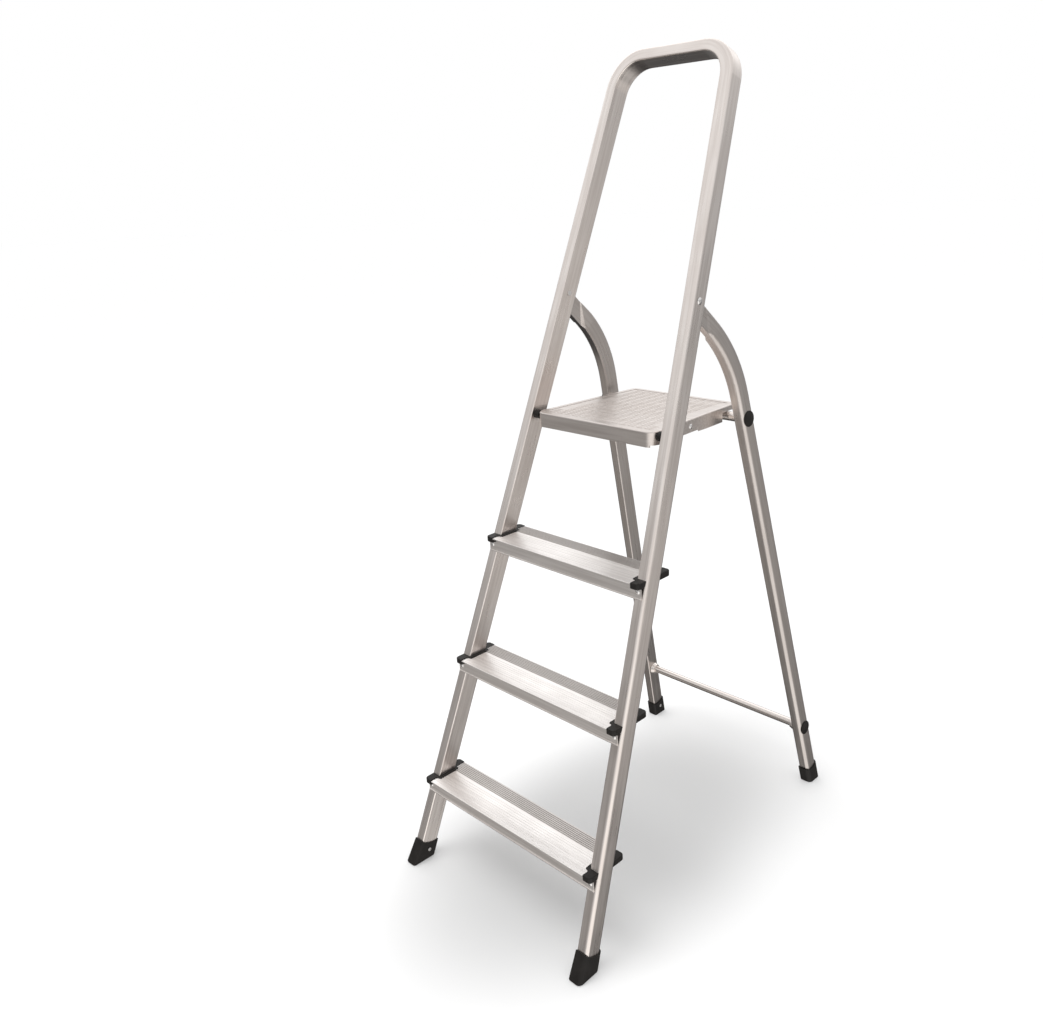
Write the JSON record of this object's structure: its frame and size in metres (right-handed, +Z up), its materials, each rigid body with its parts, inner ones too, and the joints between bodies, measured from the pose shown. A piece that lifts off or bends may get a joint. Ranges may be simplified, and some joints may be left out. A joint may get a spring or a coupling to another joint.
{
  "type": "platform step ladder",
  "caption": "Free-standing aluminium step ladder: a tall bent-tube front frame with treads, a fold-up platform and swing-in rear legs.",
  "frame": {"origin": "on the floor, at the centre of the outline that the open ladder covers", "axes": "+Z up; +Y from the foot of the treads towards the rear legs, the way the user climbs; +X to the climbing user's right"},
  "size_m": [0.4518, 0.745, 1.41],
  "materials": {
    "frame_aluminium": "satin extruded",
    "leg_aluminium": "satin extruded",
    "tread_aluminium": "satin extruded, ribbed",
    "platform_aluminium": "satin pressed sheet",
    "stiffener_aluminium": "mill",
    "tube_aluminium": "bright drawn",
    "rivet_aluminium": "bright",
    "screw_steel": "zinc plated",
    "trim_plastic": "matte",
    "foot_plastic": "matte",
    "cap_plastic": "satin",
    "spacer_plastic": "satin"
  },
  "bodies": {
    "front_frame": {"front_frame_tube": "frame_aluminium", "tread_lower": "tread_aluminium", "tread_middle": "tread_aluminium", "tread_upper": "tread_aluminium", "tread_lower_trim_left": "trim_plastic", "tread_lower_trim_right": "trim_plastic", "tread_middle_trim_left": "trim_plastic", "tread_middle_trim_right": "trim_plastic", "tread_upper_trim_left": "trim_plastic", "tread_upper_trim_right": "trim_plastic", "tread_rivets": "rivet_aluminium", "front_foot_left": "foot_plastic", "front_foot_right": "foot_plastic", "front_foot_screws": "screw_steel", "leg_pivot_rivets": "rivet_aluminium", "leg_pivot_washers": "spacer_plastic", "platform_spacer_left": "spacer_plastic", "platform_spacer_right": "spacer_plastic", "platform_hinge_pins": "rivet_aluminium"},
    "rear_frame": {"rear_leg_left": "leg_aluminium", "rear_leg_right": "leg_aluminium", "platform_support_tube": "tube_aluminium", "support_tube_cap_left": "cap_plastic", "support_tube_cap_right": "cap_plastic", "brace_tube": "tube_aluminium", "brace_collar_left": "tube_aluminium", "brace_collar_right": "tube_aluminium", "brace_cap_left": "cap_plastic", "brace_cap_right": "cap_plastic", "rear_foot_left": "foot_plastic", "rear_foot_right": "foot_plastic", "rear_foot_screws": "screw_steel"},
    "platform": {"platform_tray": "platform_aluminium", "platform_stiffener": "stiffener_aluminium", "platform_side_rivets": "rivet_aluminium"}
  },
  "joints": [
    {"name": "rear_frame_fold", "type": "hinge", "parent": "front_frame", "child": "rear_frame", "pos_m": [0, 0.03401, 1.01758], "axis": [-1, 0, 0], "range_deg": [0, 34]},
    {"name": "platform_fold", "type": "hinge", "parent": "front_frame", "child": "platform", "pos_m": [0, -0.04643, 0.81385], "axis": [1, 0, 0], "range_deg": [0, 68]}
  ],
  "couplings": [
    {"joint": "platform_fold", "follows": "rear_frame_fold", "ratio": 2}
  ]
}
